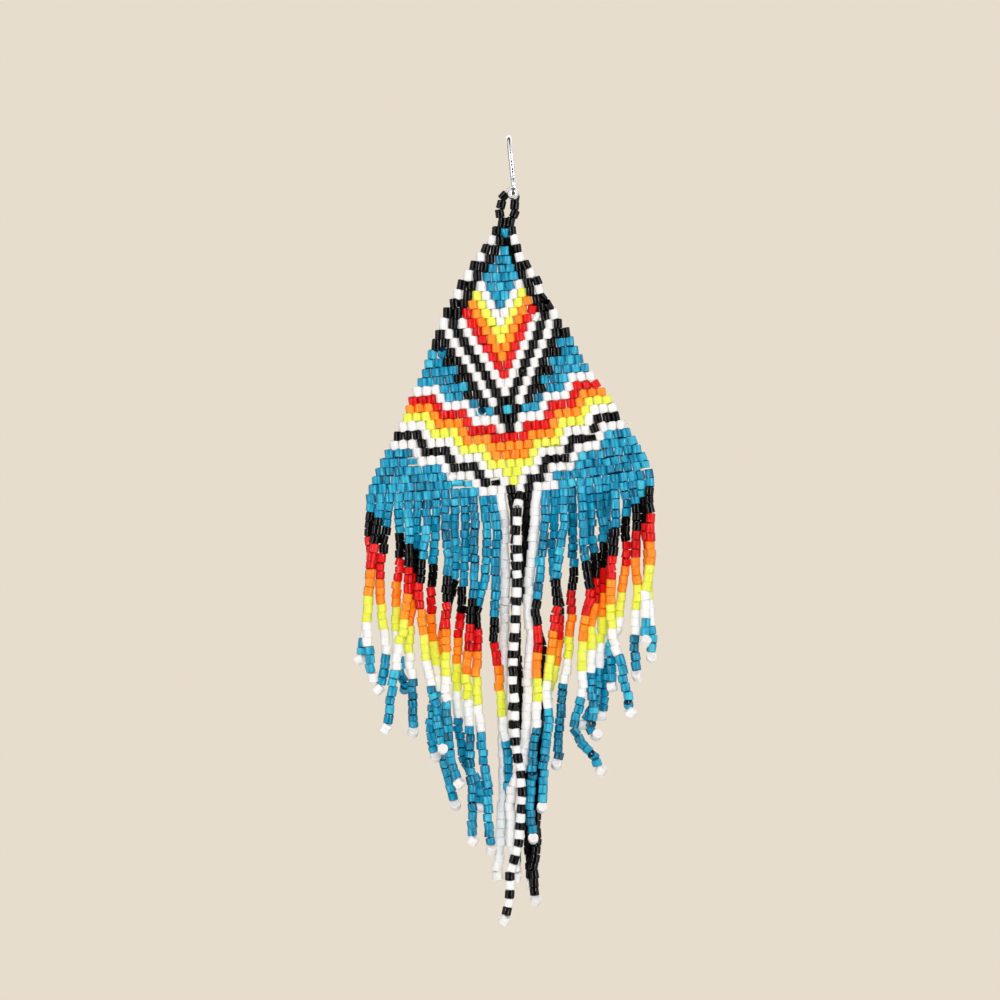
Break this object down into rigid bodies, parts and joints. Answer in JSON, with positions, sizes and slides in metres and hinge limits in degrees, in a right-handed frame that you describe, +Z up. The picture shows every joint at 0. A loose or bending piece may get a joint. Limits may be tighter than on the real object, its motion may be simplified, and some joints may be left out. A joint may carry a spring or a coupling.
{
  "type": "beaded fringe earring",
  "caption": "Long drop earring: a stitched triangular panel of small cylinder beads with a pointed fringe of bead strings, hung by a bead loop from a fish-hook ear wire.",
  "frame": {"origin": "underside of the hook's arch, in the middle of its bend, where the earring hangs in the ear", "axes": "+Z up along the hanging earring, +X to the right as seen from the front, +Y from the front of the ear to the back; the bead panel faces -Y"},
  "size_m": [0.0521, 0.0122, 0.1363],
  "materials": {
    "silver_wire": "polished silver plate",
    "teal_beads": "glossy opaque glass",
    "black_beads": "glossy opaque glass",
    "white_beads": "glossy opaque glass",
    "thread": "waxed nylon thread"
  },
  "bodies": {
    "ear_wire": {"ear_hook": "silver_wire"},
    "drop": {"bead_loop": "black_beads", "loop_thread": "thread", "bead_panel": "teal_beads", "strand_l01": "teal_beads", "strand_l02": "teal_beads", "strand_l03": "teal_beads", "strand_l04": "teal_beads", "strand_l05": "teal_beads", "strand_l06": "teal_beads", "strand_l07": "teal_beads", "strand_l08": "teal_beads", "strand_l09": "teal_beads", "strand_l10": "teal_beads", "strand_l11": "teal_beads", "strand_l12": "teal_beads", "strand_l13": "teal_beads", "strand_l14": "teal_beads", "strand_l15": "white_beads", "strand_l16": "black_beads", "strand_c": "black_beads", "strand_r01": "black_beads", "strand_r02": "white_beads", "strand_r03": "teal_beads", "strand_r04": "teal_beads", "strand_r05": "teal_beads", "strand_r06": "teal_beads", "strand_r07": "teal_beads", "strand_r08": "teal_beads", "strand_r09": "teal_beads", "strand_r10": "teal_beads", "strand_r11": "teal_beads", "strand_r12": "teal_beads", "strand_r13": "teal_beads", "strand_r14": "teal_beads", "strand_r15": "teal_beads"}
  },
  "joints": [
    {"name": "drop_swing", "type": "hinge", "parent": "ear_wire", "child": "drop", "pos_m": [0.00086, -0.004, -0.00862], "axis": [1, 0, 0], "range_deg": [-12, 35]}
  ]
}
